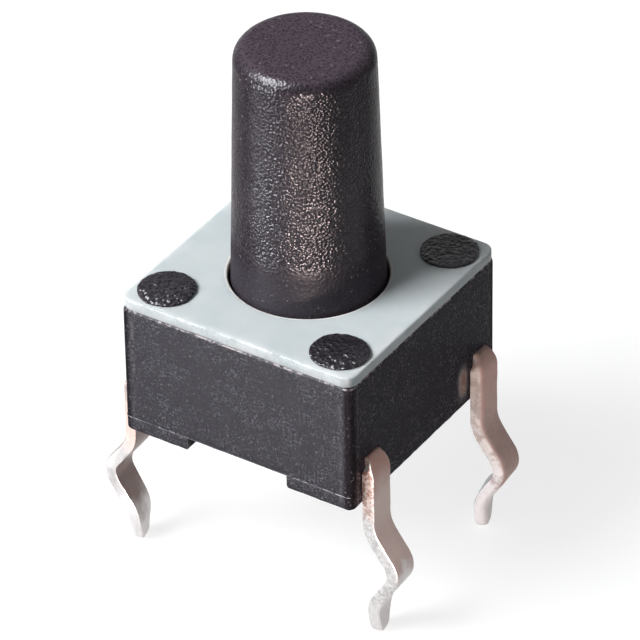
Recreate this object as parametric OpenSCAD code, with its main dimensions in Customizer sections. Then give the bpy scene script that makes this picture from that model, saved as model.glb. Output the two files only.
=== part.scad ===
// Tactile push button switch for a printed circuit board.
// The origin is the centre of the footprint, on the face that sits on the board.
// +Z points up along the button. The four legs leave the two faces that look along X.

/* [Housing] */
// Width and depth of the square housing
body_w = 6.0; // [5.6:0.1:6.6]
// Height of the housing's top face above the board
body_top = 3.29; // [3.0:0.01:3.8]
// Rounding of the housing's four upright edges
body_r = 0.16; // [0.05:0.01:0.4]
// Thickness of the wall between the round cavity and the middle of a side
side_wall = 0.7; // [0.5:0.05:0.9]
// Height of the two rails that stand on the board
rail_h = 0.35; // [0.2:0.01:0.5]
// Width of each rail
rail_w = 1.7; // [1.3:0.05:2.2]
// Rounding under the inner edge of each rail
rail_r = 0.1; // [0.04:0.01:0.18]
// Plastic between the cavity floor and the strips under it
floor_skin = 0.1; // [0.06:0.01:0.2]
// Depth of the small pocket round each leg where it leaves the housing
exit_depth = 0.12; // [0.05:0.01:0.25]
// Gap round the leg in that pocket
exit_gap = 0.03; // [0.02:0.01:0.1]

/* [Stakes] */
// Distance from a stake's centre to the housing's side
stake_inset = 0.74; // [0.7:0.01:0.8]
// Diameter of the post through the cover
post_d = 0.9; // [0.7:0.05:1.0]
// Diameter of the melted head
head_d = 1.32; // [1.15:0.01:1.4]
// Height of the head's crown above the cover
head_h = 0.14; // [0.08:0.01:0.25]
// Height of the head's rim above the cover
head_rim = 0.02; // [0.01:0.01:0.05]

/* [Cover] */
// Thickness of the cover plate
cover_t = 0.27; // [0.2:0.01:0.4]
// How far the cover stands out past the housing
cover_lip = 0.015; // [0:0.005:0.05]
// Rounding of the cover's corners
cover_r = 0.29; // [0.15:0.01:0.5]
// Gap between a post and its hole in the cover
post_gap = 0.02; // [0.01:0.01:0.05]

/* [Button] */
// Height of the button's top above the board
button_top = 9.5; // [5:0.5:13]
// How far the flange reaches past the stem, under the cover
flange_ledge = 0.42; // [0.3:0.01:0.6]
// How much the stem's radius narrows from the cover to the top
stem_draft = 0.16; // [0:0.01:0.3]
// Rounding of the edge round the button's top
top_r = 0.36; // [0.15:0.01:0.6]
// Gap between the stem and the hole in the cover
stem_gap = 0.1; // [0.05:0.01:0.12]
// Thickness of the flange under the cover
flange_t = 0.8; // [0.6:0.05:1.1]
// Gap between the flange and the cavity wall
flange_gap = 0.15; // [0.08:0.01:0.2]
// Play between the flange and the cover at rest
flange_play = 0.01; // [0.01:0.01:0.03]
// Width of the two ears that stop the button turning
ear_w = 0.8; // [0.6:0.05:1.0]
// How far an ear reaches past the flange
ear_reach = 0.35; // [0.25:0.01:0.45]
// Gap between an ear and its notch in the housing
ear_gap = 0.08; // [0.05:0.01:0.12]
// Diameter of the foot that presses the dome
foot_d = 1.6; // [1.2:0.05:2.0]
// Travel of the button
travel = 0.25; // [0.15:0.01:0.27]

/* [Dome] */
// Thickness of the snap dome
dome_t = 0.06; // [0.04:0.01:0.08]
// Height of the dome above the cavity floor
dome_h = 0.38; // [0.36:0.01:0.5]
// Gap between the dome's rim and the cavity wall
dome_gap = 0.2; // [0.1:0.01:0.3]
// Gap between the dome and the button's foot at rest
foot_gap = 0.01; // [0.01:0.01:0.02]
// Gap left between the dome and the centre contact at full travel
snap_gap = 0.01; // [0.005:0.005:0.02]

/* [Contact strips] */
// Thickness of the stamped strip
strip_t = 0.3; // [0.2:0.01:0.35]
// Width of the strip and of its legs
strip_w = 0.7; // [0.5:0.01:0.8]
// Height of the strip's upper face above the board
strip_top = 1.13; // [1.0:0.01:1.3]
// Distance from a strip's centre line to the housing's side
strip_inset = 0.75; // [0.6:0.05:0.9]
// Width of the tab to the centre contact
tab_w = 0.8; // [0.6:0.05:1.0]
// Diameter of the pad under the dome's centre
pad_d = 1.2; // [1.0:0.05:1.4]
// Diameter of the raised centre contact
contact_d = 0.8; // [0.5:0.05:0.95]
// Distance from the dome's rim in to the centre line of a rim arm
arm_inset = 0.65; // [0.55:0.05:0.8]
// Width of a rim arm
arm_w = 0.6; // [0.4:0.05:0.7]
// Distance from the dome's rim in to the end of a rim arm
arm_overlap = 1.05; // [0.9:0.05:1.2]
// Length of the raised pad at the end of a rim arm
rim_pad = 0.7; // [0.5:0.05:0.8]

/* [Legs] */
// Gap between a leg and the housing's side
leg_gap = 0.01; // [0.01:0.01:0.1]
// How far below the board the kink starts
kink_start = 0.78; // [0.6:0.01:0.9]
// How far below the board the kink stands out most
kink_mid = 1.75; // [1.6:0.01:1.9]
// How far below the board the kink ends
kink_end = 2.78; // [2.6:0.01:2.9]
// How far the kink stands out
kink_out = 0.71; // [0.4:0.01:0.8]
// How far the tip stands out past the leg's upper part
tip_out = 0.04; // [0:0.01:0.1]
// How far below the board the tips end
leg_drop = 3.6; // [3.4:0.1:4.5]
// Inside radius of the bend where the leg turns down
shoulder_r = 0.1; // [0.03:0.01:0.15]
// Inside radius of the soft bends above and below the kink
soft_r = 0.75; // [0.2:0.05:0.8]
// Inside radius of the bend at the kink's peak
peak_r = 0.36; // [0.2:0.01:0.45]
// Width of the leg's tip
tip_w = 0.46; // [0.3:0.01:0.55]
// Length of the taper that narrows the tip
tip_taper = 0.9; // [0.5:0.05:1.0]
// How much of each corner is cut off the tip's end
tip_cut = 0.12; // [0.05:0.01:0.14]

/* [Hidden] */
$fn = 64;
// Number of straight steps in a bend of a strip and in the rounding of the button
bend_steps = 7;
round_steps = 10;
// Length by which cutting shapes run past what they cut
past = 0.2;

body_half = body_w / 2;
cover_w = body_w + 2 * cover_lip;
cover_top = body_top + cover_t;
stake_at = body_half - stake_inset;
floor_z = strip_top + floor_skin;
dome_top = floor_z + dome_h;
foot_z = dome_top + foot_gap;
flange_top = body_top - flange_play;
cavity_d = body_w - 2 * side_wall;
flange_d = cavity_d - 2 * flange_gap;
dome_d = cavity_d - 2 * dome_gap;
stem_d = flange_d - 2 * flange_ledge;
stem_top_d = stem_d - 2 * stem_draft;
hole_d = stem_d + 2 * stem_gap;
contact_top = dome_top - dome_t - travel - snap_gap;
strip_bottom = strip_top - strip_t;
strip_mid = strip_top - strip_t / 2;
strip_y = body_half - strip_inset;
arm_x = dome_d / 2 - arm_inset;
arm_end = dome_d / 2 - arm_overlap;
leg_x = body_half + leg_gap + strip_t / 2;
leg_bottom = -leg_drop;

// Slope of the stem's side, as the radius lost for each millimetre of height
stem_lean = (stem_d - stem_top_d) / 2 / (button_top - top_r - cover_top);

// Centre line of a leg in side view, from the middle of the strip out and down to the tip
leg_line = [
    [0, strip_mid],
    [leg_x, strip_mid],
    [leg_x, -kink_start],
    [leg_x + kink_out, -kink_mid],
    [leg_x + tip_out, -kink_end],
    [leg_x + tip_out, leg_bottom]
];
leg_bends = [0, shoulder_r, soft_r, peak_r, soft_r, 0];

// Unit vector from one point to the next
function heading(p, q) = (q - p) / norm(q - p);
// The same vector turned a quarter turn to the left
function left_of(d) = [-d[1], d[0]];
// Signed angle of the turn from one heading to the next
function turn(a, b) = atan2(a[0] * b[1] - a[1] * b[0], a * b);

// One side of a bent strip: the line's own ends, and an arc round each inner corner
function bend_arc(p, a, b, inside, side) =
    let(
        angle = turn(a, b),
        way = sign(angle),
        middle = inside + strip_t / 2,
        centre = p - a * middle * tan(abs(angle) / 2) + left_of(a) * way * middle,
        radius = middle - way * side * strip_t / 2
    )
    [for (i = [0 : bend_steps])
        let(at = angle * i / bend_steps)
        centre + radius * way * (a * sin(at) - left_of(a) * cos(at))];

function strip_side(line, bends, side) = [
    for (i = [0 : len(line) - 1])
        let(last = len(line) - 1)
        each (
            i == 0 ? [line[0] + left_of(heading(line[0], line[1])) * side * strip_t / 2] :
            i == last ? [line[last] + left_of(heading(line[last - 1], line[last])) * side * strip_t / 2] :
            bend_arc(line[i], heading(line[i - 1], line[i]), heading(line[i], line[i + 1]), bends[i], side)
        )
];

function reversed(list) = [for (i = [len(list) - 1 : -1 : 0]) list[i]];

// A square with rounded corners, centred on the origin
module rounded_square(w, r) {
    square([w, w - 2 * r], center = true);
    square([w - 2 * r, w], center = true);
    for (x = [-1, 1], y = [-1, 1])
        translate([x * (w / 2 - r), y * (w / 2 - r)])
            circle(r);
}

// The four places where the cover is staked down
module at_stakes() {
    for (x = [-1, 1], y = [-1, 1])
        translate([x * stake_at, y * stake_at, 0])
            children();
}

// A flat shape drawn in X and Z, stretched along Y to a width centred on y = 0
module along_y(w) {
    translate([0, w / 2, 0])
        rotate([90, 0, 0])
            linear_extrude(w)
                children();
}

module rail() {
    inner = body_half - rail_w;
    along_y(body_w) {
        translate([inner, rail_r])
            square([rail_w, rail_h - rail_r]);
        translate([inner + rail_r, 0])
            square([rail_w - rail_r, rail_h]);
        translate([inner + rail_r, rail_r])
            circle(rail_r);
    }
}

// The crown of a melted post: a shallow cap on a thin rim
module stake_head() {
    crown = head_h - head_rim;
    crown_r = (head_d * head_d / 4 + crown * crown) / (2 * crown);
    rotate_extrude()
        intersection() {
            square([head_d / 2, head_h]);
            translate([0, head_h - crown_r])
                circle(crown_r);
        }
}

module cavity() {
    notch_r = flange_d / 2 + ear_reach + ear_gap;
    notch_w = ear_w + 2 * ear_gap;
    notch_floor = flange_top - flange_t - travel - ear_gap;
    translate([0, 0, floor_z])
        cylinder(h = body_top - floor_z + past, d = cavity_d);
    intersection() {
        translate([-notch_r, -notch_w / 2, notch_floor])
            cube([2 * notch_r, notch_w, body_top - notch_floor + past]);
        cylinder(h = body_top + 2 * past, r = notch_r);
    }
}

// The small pockets round the legs where they leave the housing
module exit_pockets() {
    pocket_w = strip_w + 2 * exit_gap;
    for (x = [-1, 1], y = [-1, 1])
        translate([x * body_half - exit_depth, y * strip_y - pocket_w / 2, strip_bottom - exit_gap])
            cube([2 * exit_depth, pocket_w, strip_t + 2 * exit_gap]);
}

module housing() {
    color([0.13, 0.12, 0.14])
        difference() {
            union() {
                translate([0, 0, rail_h])
                    linear_extrude(body_top - rail_h)
                        rounded_square(body_w, body_r);
                intersection() {
                    linear_extrude(body_top)
                        rounded_square(body_w, body_r);
                    union() {
                        rail();
                        mirror([1, 0, 0])
                            rail();
                    }
                }
                at_stakes() {
                    translate([0, 0, body_top])
                        cylinder(h = cover_t, d = post_d);
                    translate([0, 0, cover_top])
                        stake_head();
                }
            }
            cavity();
            exit_pockets();
            centre_contact_strip();
            rim_contact_strip();
        }
}

module cover() {
    color([0.72, 0.78, 0.79])
        translate([0, 0, body_top])
            linear_extrude(cover_t)
                difference() {
                    rounded_square(cover_w, cover_r);
                    circle(d = hole_d);
                    at_stakes()
                        circle(d = post_d + 2 * post_gap);
                }
}

// The stem's outline from the flange up: a leaning side, a rounded edge and a flat top
module stem_outline() {
    lean = atan(stem_lean);
    edge_x = stem_top_d / 2 - top_r;
    edge_z = button_top - top_r;
    rounding = [
        for (i = [0 : round_steps])
            let(at = lean + (90 - lean) * i / round_steps)
            [edge_x + top_r * cos(at), edge_z + top_r * sin(at)]
    ];
    foot_x = rounding[0][0] + (rounding[0][1] - flange_top) * stem_lean;
    polygon(concat([[0, flange_top - flange_t / 2], [foot_x, flange_top - flange_t / 2],
        [foot_x, flange_top]], rounding, [[0, button_top]]));
}

module button() {
    color([0.15, 0.14, 0.15]) {
        rotate_extrude()
            stem_outline();
        translate([0, 0, flange_top - flange_t]) {
            cylinder(h = flange_t, d = flange_d);
            intersection() {
                translate([-flange_d, -ear_w / 2, 0])
                    cube([2 * flange_d, ear_w, flange_t]);
                cylinder(h = flange_t, r = flange_d / 2 + ear_reach);
            }
        }
        translate([0, 0, foot_z])
            cylinder(h = flange_top - flange_t / 2 - foot_z, d = foot_d);
    }
}

// A thin shell cut from a sphere, standing on its rim
module snap_dome() {
    curve_r = (dome_d * dome_d / 4 + dome_h * dome_h) / (2 * dome_h);
    color([0.82, 0.82, 0.8])
        translate([0, 0, floor_z])
            rotate_extrude()
                intersection() {
                    square([dome_d / 2, dome_h]);
                    translate([0, dome_h - curve_r])
                        difference() {
                            circle(curve_r, $fn = 256);
                            circle(curve_r - dome_t, $fn = 256);
                        }
                }
}

// A strip across the switch with a leg at each end, on the centre line y = 0
module strip_with_legs() {
    outline = concat(strip_side(leg_line, leg_bends, 1), reversed(strip_side(leg_line, leg_bends, -1)));
    half_tip = tip_w / 2;
    half_leg = strip_w / 2;
    for (side = [0, 1])
        mirror([side, 0, 0])
            intersection() {
                along_y(strip_w)
                    polygon(outline);
                rotate([90, 0, 90])
                    linear_extrude(body_w)
                        polygon([
                            [-half_tip, leg_bottom + tip_cut],
                            [-half_tip + tip_cut, leg_bottom],
                            [half_tip - tip_cut, leg_bottom],
                            [half_tip, leg_bottom + tip_cut],
                            [half_leg, leg_bottom + tip_taper],
                            [half_leg, strip_top],
                            [-half_leg, strip_top],
                            [-half_leg, leg_bottom + tip_taper]
                        ]);
            }
}

// The strip whose tab ends in the raised contact under the dome's centre
module centre_contact_strip() {
    color([0.76, 0.72, 0.68]) {
        translate([0, strip_y, 0])
            strip_with_legs();
        translate([-tab_w / 2, 0, strip_bottom])
            cube([tab_w, strip_y, strip_t]);
        translate([0, 0, strip_bottom])
            cylinder(h = strip_t, d = pad_d);
        translate([0, 0, strip_mid])
            cylinder(h = contact_top - strip_mid, d = contact_d);
    }
}

// The strip whose two arms carry the dome's rim
module rim_contact_strip() {
    color([0.76, 0.72, 0.68]) {
        translate([0, -strip_y, 0])
            strip_with_legs();
        for (side = [-1, 1])
            translate([side * arm_x - arm_w / 2, 0, 0]) {
                translate([0, -strip_y, strip_bottom])
                    cube([arm_w, strip_y - arm_end, strip_t]);
                translate([0, -arm_end - rim_pad, strip_mid])
                    cube([arm_w, rim_pad, floor_z - strip_mid]);
            }
    }
}

housing();
cover();
button();
snap_dome();
centre_contact_strip();
rim_contact_strip();
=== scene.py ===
"""Looks of a tactile push button switch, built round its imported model."""

import math

import bmesh
import bpy
from mathutils import Matrix, Vector, noise


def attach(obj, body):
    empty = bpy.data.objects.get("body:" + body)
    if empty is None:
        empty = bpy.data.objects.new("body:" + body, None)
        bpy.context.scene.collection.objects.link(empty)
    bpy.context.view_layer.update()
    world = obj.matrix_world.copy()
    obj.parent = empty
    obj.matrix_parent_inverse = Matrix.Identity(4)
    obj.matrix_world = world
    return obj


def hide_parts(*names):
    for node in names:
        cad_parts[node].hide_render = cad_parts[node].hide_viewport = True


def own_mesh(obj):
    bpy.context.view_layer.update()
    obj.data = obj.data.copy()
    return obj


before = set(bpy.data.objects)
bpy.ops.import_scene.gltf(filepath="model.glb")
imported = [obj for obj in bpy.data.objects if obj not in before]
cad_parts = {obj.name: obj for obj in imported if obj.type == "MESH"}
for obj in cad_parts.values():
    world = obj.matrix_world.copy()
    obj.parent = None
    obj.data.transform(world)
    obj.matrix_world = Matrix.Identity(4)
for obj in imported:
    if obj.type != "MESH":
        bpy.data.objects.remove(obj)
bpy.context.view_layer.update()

# Sizes in millimetres, the same as in the part's source

MM = 0.001
BODY_HALF = 3.0
BODY_TOP = 3.29
BODY_ROUND = 0.16
CAVITY_R = 2.3
FLOOR_Z = 1.23
RAIL_H = 0.35
RAIL_INNER = 1.3
RAIL_ROUND = 0.1
STAKE_AT = 2.26
POST_R = 0.45
HEAD_R = 0.66
HEAD_H = 0.14
COVER_TOP = 3.56
COVER_HALF = 3.015
COVER_ROUND = 0.29
HOLE_R = 1.8
POST_HOLE_R = 0.47
STEM_R = 1.73
STEM_TOP_R = 1.57
BUTTON_TOP = 9.5
BUTTON_ROUND = 0.36
FLANGE_TOP = 3.28
FLANGE_BOTTOM = 2.48
FLANGE_R = 2.15
EAR_HALF = 0.4
EAR_R = 2.5
EAR_GAP = 0.08
NOTCH_FLOOR = 2.15
FOOT_R = 0.8
FOOT_Z = 1.62
DOME_R = 2.1
DOME_H = 0.38
DOME_T = 0.06
STRIP_T = 0.3
STRIP_W = 0.7
STRIP_MID = 0.98
STRIP_Y = 2.25
LEG_X = 3.16
KINK_START = 0.78
KINK_MID = 1.75
KINK_END = 2.78
KINK_OUT = 0.71
TIP_OUT = 0.04
TIP_W = 0.46
TIP_TAPER = 0.9
LEG_BOTTOM = -3.6
SHOULDER_R = 0.1
SOFT_R = 0.75
PEAK_R = 0.36
EXIT_DEPTH = 0.04
EXIT_GAP = 0.03

# Small forms of the real piece that only the scene has, in millimetres unless said otherwise

# Height on the housing's wall, and how far the wall is set in there
WALL_FOOT = [(0.0, 0.045), (0.008, 0.018), (0.03, 0.003), (0.05, 0.0)]
WALL_TOP = [(3.16, 0.0), (3.2, 0.0), (3.23, 0.004), (3.255, 0.014), (3.275, 0.03), (BODY_TOP, 0.05)]
# The same for the line of flash at the height of the rails' upper end, from that height
WALL_FLASH = [(-0.012, 0.002), (0.0, -0.006), (0.012, 0.002), (0.03, 0.0)]
# Plain rings of the wall below and above the flash: the first one's height, the step, the count
LOW_WALL = (0.12, 0.07, 4)
HIGH_WALL = (0.48, 0.16, 17)
# The wall is worn within WEAR_REACH of its foot, and of a line WEAR_DROP below its top
WEAR_REACH = 0.06
WEAR_DROP = 0.04
# How far the flat top of the housing is set in, and the heights of rings in the cavity
TOP_INSET = 0.09
CAVITY_LEVELS = (3.0, 2.5, 2.0, 1.5, FLOOR_Z)
# The channel between the rails is cut from this height up
CHANNEL_FOOT = -1.0
RAIL_CHAMFER = 0.03
# Where the notches and the ears start, as shares of the cavity's and the flange's radius
NOTCH_START = 0.9
EAR_START = 0.95
# How far the posts, the finer legs and the cut ends of the strips lie inside the housing
POST_ROOT = 0.3
LEG_ROOT = 0.3
STRIP_END = 0.2
# How far down from the cover's top its outer edge is at each inset, and its hole's edge at each
# step out from the hole
COVER_EDGE = [(0.042, 0.002), (0.023, 0.007), (0.01, 0.015), (0.003, 0.026), (0.0, 0.04), (0.0, 0.12)]
COVER_FOOT = [(0.0, 0.22), (0.004, 0.25), (0.018, 0.265), (0.035, COVER_TOP - BODY_TOP)]
HOLE_EDGE = [(0.0, 0.16), (0.0, 0.04), (0.01, 0.018), (0.028, 0.005)]
HOLE_CHAMFER = 0.02
# The cover's flat top starts this far out from the hole, and ends this far in from the outside
FLAT_START = 0.055
FLAT_END = 0.13
# How far below the cover's top the melted heads start
HEAD_SINK = 0.004
# A melted head's rim, as shares of its radius and of its height, and the power that rounds its dome
HEAD_RIM = [(0.955, 0.0), (0.985, 0.15), (1.0, 0.4)]
HEAD_POWER = 0.9
# How far the bumps on a head change with height, and how fast they set in above its rim
HEAD_LAYER = 0.2
HEAD_RISE = 3
# Each corner's seed, and how much its head is squeezed along X
HEADS = {(-1, -1): (1.0, 0.985), (1, -1): (12.0, 1.01), (1, 1): (23.0, 1.0), (-1, 1): (34.0, 1.02)}
# The button's small edges, and the rings of its flat top as shares of that top's radius
BUTTON_EDGE = 0.03
FOOT_EDGE = 0.04
TOP_SHARES = (0.92, 0.82, 0.7, 0.56, 0.42, 0.28, 0.14, 0.05)
# The legs are narrower by NECK_CUT where they leave the housing. Their ends are rounded over
# TIP_ROUND, which leaves a share of the width, and a share of the thickness is never rounded off
NECK_CUT = 0.18
NECK_LENGTH = 0.15
TIP_ROUND = 0.2
TIP_END_WIDTH = 0.25
TIP_KEPT_THICKNESS = 0.7
# Rounding of a leg's edges, what the tip adds to it, and its most as a share of the thickness
EDGE_ROUND = 0.02
TIP_EDGE_ROUND = 0.04
EDGE_LIMIT = 0.48
# How much faster a leg's waves change through its thickness than along it
WAVE_DEPTH = 3
# Height above the tips below which a leg leans and twists
LEAN_LENGTH = 2.38
# For each leg: how far its tip leans out, its twist in degrees, and how much its outer edge on
# the -Y side is worn round
LEG_BENDS = {
    (1, -1): (0.015, 8, 0.02),
    (1, 1): (-0.045, 18, 0.12),
    (-1, -1): (0.035, 14, 0.06),
    (-1, 1): (0.0, 8, 0.05),
}

# Unevenness of a surface: each wave's size, its bumps per millimetre, and its seed

UPPER_EDGE_WAVES = [(0.012, 6.0, 3.0)]
FLASH_WAVES = [(0.012, 2.5, 8.0)]
LOWER_EDGE_WAVES = [(0.014, 5.0, 5.0)]
LOWER_LIFT_WAVES = [(0.006, 7.0, 2.0)]
WALL_WAVES = [(0.002, 1.5, 1.0)]
HEAD_OUTLINE_WAVES = [(0.022, 1.6, 0.0), (0.012, 5.0, 0.0)]
HEAD_BUMP_WAVES = [(0.02, 9.0, 0.0), (0.012, 3.0, 4.0)]
HEAD_SWAY_WAVES = [(0.016, 8.0, 9.0)]
COVER_WAVES = [(0.0025, 1.1, 6.0)]
STEM_WAVES = [(0.004, 1.3, 2.0), (0.003, 5.0, 7.0)]
LEG_WAVES = [(0.006, 3.0, 0.0), (0.003, 11.0, 0.0)]

# How finely the meshes are divided

SIDE_STEPS = 72
CORNER_STEPS = 9
ROUND_STEPS = 216
POST_STEPS = 72
HEAD_STEPS = 15
COVER_SPANS = 14
STEM_STEPS = 58
STEM_ROUND_STEPS = 14
DOME_STEPS = 28
DOME_ROUND_STEPS = 96
RAIL_ROUND_STEPS = 6
BEND_STEPS = 9
SECTION_STEPS = 5
LEG_STEP = 0.07

# Edges sharper than this many degrees stay sharp, and cutting shapes run out to this far

SHARP = 40
CUT_REACH = 4.0


# Meshes


def skin(bm, rings, caps=(True, True)):
    """Joins closed rings of points, in millimetres, into one tube with flat ends where asked."""
    rows = [[bm.verts.new(Vector(p) * MM) for p in ring] for ring in rings]
    count = len(rows[0])
    for low, high in zip(rows, rows[1:]):
        for i in range(count):
            j = (i + 1) % count
            bm.faces.new((low[i], low[j], high[j], high[i]))
    if caps[0]:
        bm.faces.new(rows[0][::-1])
    if caps[1]:
        bm.faces.new(rows[-1])
    return rows


def close_ring(bm, row_a, row_b):
    """Joins the last ring of a tube to its first, for a tube that closes on itself."""
    count = len(row_a)
    for i in range(count):
        j = (i + 1) % count
        bm.faces.new((row_a[i], row_a[j], row_b[j], row_b[i]))


def finish_mesh(name, bm, sharp_angle=SHARP):
    """Makes an object of a bmesh, smooth but for edges sharper than the angle in degrees."""
    bmesh.ops.recalc_face_normals(bm, faces=bm.faces)
    mesh = bpy.data.meshes.new(name)
    bm.to_mesh(mesh)
    bm.free()
    mesh.shade_smooth()
    mesh.set_sharp_from_angle(angle=math.radians(sharp_angle))
    made = bpy.data.objects.new(name, mesh)
    bpy.context.scene.collection.objects.link(made)
    return made


def quarter_turn(steps):
    """Angles from 0 up to, but without, a right angle, in radians."""
    return [math.radians(90) * i / steps for i in range(steps)]


def square_loop(half, corner):
    """A square with rounded corners seen from above, anticlockwise."""
    points = []
    straight = half - corner
    for quarter in range(4):
        turn = Matrix.Rotation(math.radians(90 * quarter), 2)
        for i in range(SIDE_STEPS):
            points.append(turn @ Vector((half, straight * (2 * i / SIDE_STEPS - 1))))
        for a in quarter_turn(CORNER_STEPS):
            x = straight + corner * math.cos(a)
            y = straight + corner * math.sin(a)
            points.append(turn @ Vector((x, y)))
    return points


def circle_loop(radius, like):
    """A circle whose points lie in the same directions as those of another loop."""
    return [p.normalized() * radius for p in like]


def round_loop(radius, steps, centre=(0, 0)):
    """A circle of evenly spaced points, anticlockwise."""
    turns = [2 * math.pi * i / steps for i in range(steps)]
    return [Vector((centre[0] + radius * math.cos(a), centre[1] + radius * math.sin(a))) for a in turns]


def at_height(loop, z):
    """Lifts a flat loop to a height."""
    return [(p[0], p[1], z) for p in loop]


def blend_loops(a, b, share):
    """A loop part of the way from one to another."""
    return [p.lerp(q, share) for p, q in zip(a, b)]


def rough(point, scale, seed):
    """Smooth noise from -1 to 1 at a point in millimetres; the scale is bumps per millimetre."""
    return noise.noise(Vector(point) * scale + Vector((seed, seed * 1.7, seed * 0.3)))


def uneven(point, waves, seed=0.0):
    """The sum of some waves at a point."""
    return sum(size * rough(point, scale, seed + shift) for size, scale, shift in waves)


def nearness(distance, reach):
    """1 at no distance, falling evenly to 0 at the reach and past it."""
    return max(0.0, 1 - abs(distance) / reach)


def ease(share):
    """A smooth step from 0 to 1."""
    share = min(1.0, max(0.0, share))
    return share * share * (3 - 2 * share)


def cut(target, cutter):
    """Takes the cutter's shape away from the target and deletes the cutter."""
    change = target.modifiers.new("cut", "BOOLEAN")
    change.operation = "DIFFERENCE"
    change.solver = "EXACT"
    change.object = cutter
    bpy.context.view_layer.update()
    shape = target.evaluated_get(bpy.context.evaluated_depsgraph_get())
    mesh = bpy.data.meshes.new_from_object(shape)
    target.modifiers.clear()
    target.data = mesh
    bpy.data.objects.remove(cutter)


def prism(bm, outline, start, end, along_y=False):
    """A closed prism of a flat outline, drawn in X and Y or, along Y, in X and Z."""

    def place(p, reach):
        return (p[0], reach, p[1]) if along_y else (p[0], p[1], reach)

    skin(bm, [[place(p, start) for p in outline], [place(p, end) for p in outline]])


def rectangle(x_ends, y_ends):
    """A rectangle between two values of X, in either order, and two of Y."""
    x0, x1 = min(x_ends), max(x_ends)
    y0, y1 = y_ends
    return [(x0, y0), (x1, y0), (x1, y1), (x0, y1)]


# Housing


def plain_levels(first, step, count):
    """Heights on the outer wall where it isn't set in."""
    return [(first + step * i, 0.0) for i in range(count)]


def wall_levels():
    """Heights on the outer wall from the bottom up, with how far the wall is set in at each."""
    flash = [(RAIL_H + rise, inset) for rise, inset in WALL_FLASH]
    return WALL_FOOT + plain_levels(*LOW_WALL) + flash + plain_levels(*HIGH_WALL) + WALL_TOP


def wall_ring(z, inset):
    """One ring of the outer wall, uneven where the mould's edges wear."""
    near_top = nearness(z - BODY_TOP + WEAR_DROP, WEAR_REACH)
    near_foot = nearness(z, WEAR_REACH)
    on_flash = abs(z - RAIL_H) < MM
    ring = []
    for p in square_loop(BODY_HALF - inset, BODY_ROUND - inset * 0.5):
        here = (p[0], p[1], z)
        push = near_top * uneven(here, UPPER_EDGE_WAVES)
        if on_flash:
            push += max(0.0, uneven(here, FLASH_WAVES))
        push += near_foot * uneven(here, LOWER_EDGE_WAVES)
        push += uneven(here, WALL_WAVES)
        out = p.normalized() * push
        lift = near_foot * uneven(here, LOWER_LIFT_WAVES)
        ring.append((p[0] + out[0], p[1] + out[1], z + lift))
    return ring


def housing_wall():
    """The outside of the housing from the bottom up, over its top and down into the cavity."""
    rings = [wall_ring(z, inset) for z, inset in wall_levels()]
    like = square_loop(BODY_HALF, BODY_ROUND)
    top = square_loop(BODY_HALF - TOP_INSET, BODY_ROUND)
    rim = circle_loop(CAVITY_R, like)
    for share in (0.0, 0.35, 0.7, 1.0):
        rings.append(at_height(blend_loops(top, rim, share), BODY_TOP))
    for z in CAVITY_LEVELS:
        rings.append(at_height(rim, z))
    return rings


def rail_channel():
    """The space between the two rails in front view, with a rounded foot on each rail's inner edge."""
    foot = RAIL_INNER + RAIL_ROUND
    right = [(foot, CHANNEL_FOOT)]
    for a in quarter_turn(RAIL_ROUND_STEPS) + [math.radians(90)]:
        right.append((foot - RAIL_ROUND * math.sin(a), RAIL_ROUND - RAIL_ROUND * math.cos(a)))
    right += [(RAIL_INNER, RAIL_H - RAIL_CHAMFER), (RAIL_INNER - RAIL_CHAMFER, RAIL_H)]
    return right + [(-p[0], p[1]) for p in right[::-1]]


def cut_notch(tools, side):
    """The notch that takes one of the button's ears."""
    half = EAR_HALF + EAR_GAP
    reach = [side * CAVITY_R * NOTCH_START, side * (EAR_R + EAR_GAP)]
    prism(tools, rectangle(reach, (-half, half)), NOTCH_FLOOR, CUT_REACH)


def cut_pocket(tools, side, row):
    """The shallow pocket round a leg where it leaves the housing."""
    wide = STRIP_W / 2 + EXIT_GAP
    high = STRIP_T / 2 + EXIT_GAP
    reach = [side * (BODY_HALF - EXIT_DEPTH), side * (BODY_HALF + EXIT_DEPTH)]
    ends = (row * STRIP_Y - wide + NECK_CUT, row * STRIP_Y + wide)
    prism(tools, rectangle(reach, ends), STRIP_MID - high, STRIP_MID + high)


def head_profile():
    """A melted head from its rim up: shares of its radius and of its height."""
    rim_lift = HEAD_RIM[-1][1]
    profile = list(HEAD_RIM)
    for a in quarter_turn(HEAD_STEPS)[1:]:
        profile.append((math.cos(a) ** HEAD_POWER, rim_lift + (1 - rim_lift) * math.sin(a)))
    return profile


def stake(bm, corner):
    """A corner post with its melted head: an uneven flat dome with a rough edge."""
    seed, squeeze = HEADS[corner]
    under = COVER_TOP - HEAD_SINK
    post = round_loop(POST_R, POST_STEPS)
    rings = [at_height(post, BODY_TOP - POST_ROOT), at_height(post, under)]
    outline = []
    for p in round_loop(1.0, POST_STEPS):
        reach = 1 + uneven((p[0], p[1], 0), HEAD_OUTLINE_WAVES, seed)
        outline.append(Vector((p[0] * squeeze, p[1] / squeeze)) * HEAD_R * reach)
    for share, lift in head_profile():
        ring = []
        for p in outline:
            q = p * share
            here = (q[0], q[1], lift * HEAD_LAYER)
            bumps = uneven(here, HEAD_BUMP_WAVES, seed) * min(1.0, lift * HEAD_RISE)
            sway = 1 + uneven(here, HEAD_SWAY_WAVES, seed)
            ring.append((q[0] * sway, q[1] * sway, under + HEAD_H * lift + bumps))
        rings.append(ring)
    x = corner[0] * STAKE_AT
    y = corner[1] * STAKE_AT
    skin(bm, [[(p[0] + x, p[1] + y, p[2]) for p in ring] for ring in rings])


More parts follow.
